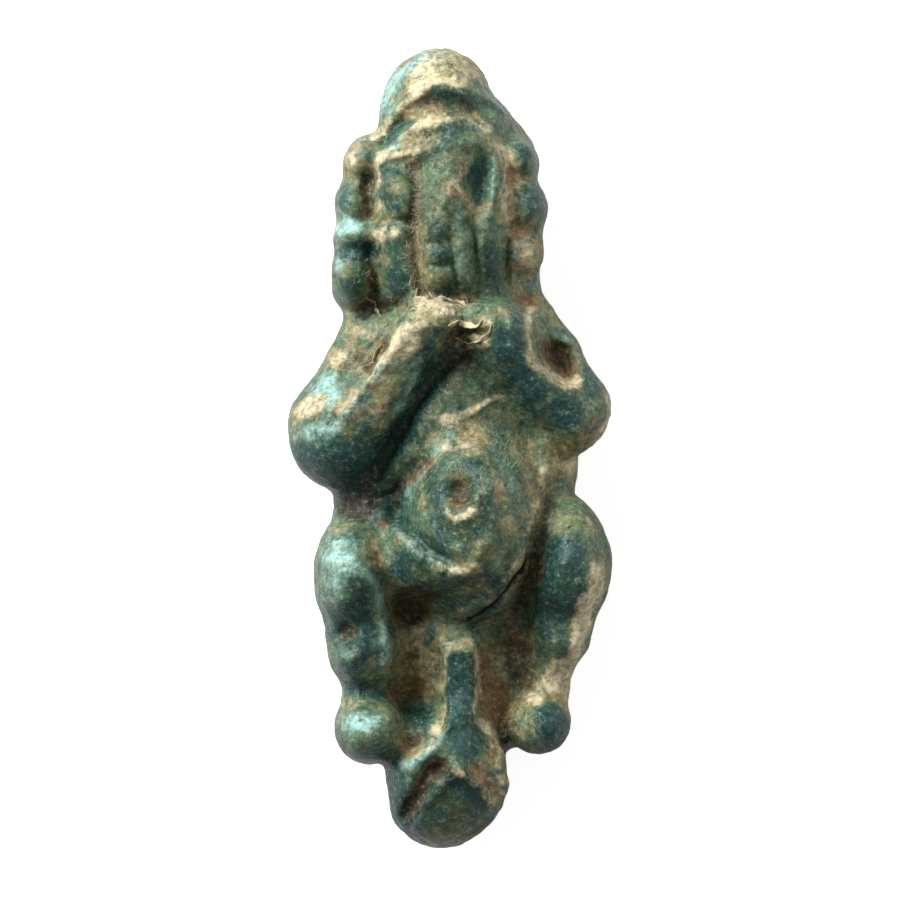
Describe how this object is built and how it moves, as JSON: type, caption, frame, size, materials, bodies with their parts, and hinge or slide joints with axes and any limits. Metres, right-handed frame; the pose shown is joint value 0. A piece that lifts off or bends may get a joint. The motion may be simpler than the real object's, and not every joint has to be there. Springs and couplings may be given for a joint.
{
  "type": "phallic amulet",
  "caption": "Squat moulded figure with a capped head, hands raised to the chest, round belly and bent legs, ending in a large rounded tip; bored across the neck for a cord.",
  "frame": {"origin": "middle of the back, where the piece lies", "axes": "+Z out of the front, +Y along the length to the cap, +X to the right of the front view"},
  "size_m": [0.013, 0.032, 0.0088],
  "materials": {
    "glaze": "worn blue-green glaze with pale crust and brown soil in the hollows"
  },
  "bodies": {
    "root": {"amulet": "glaze"}
  },
  "joints": []
}
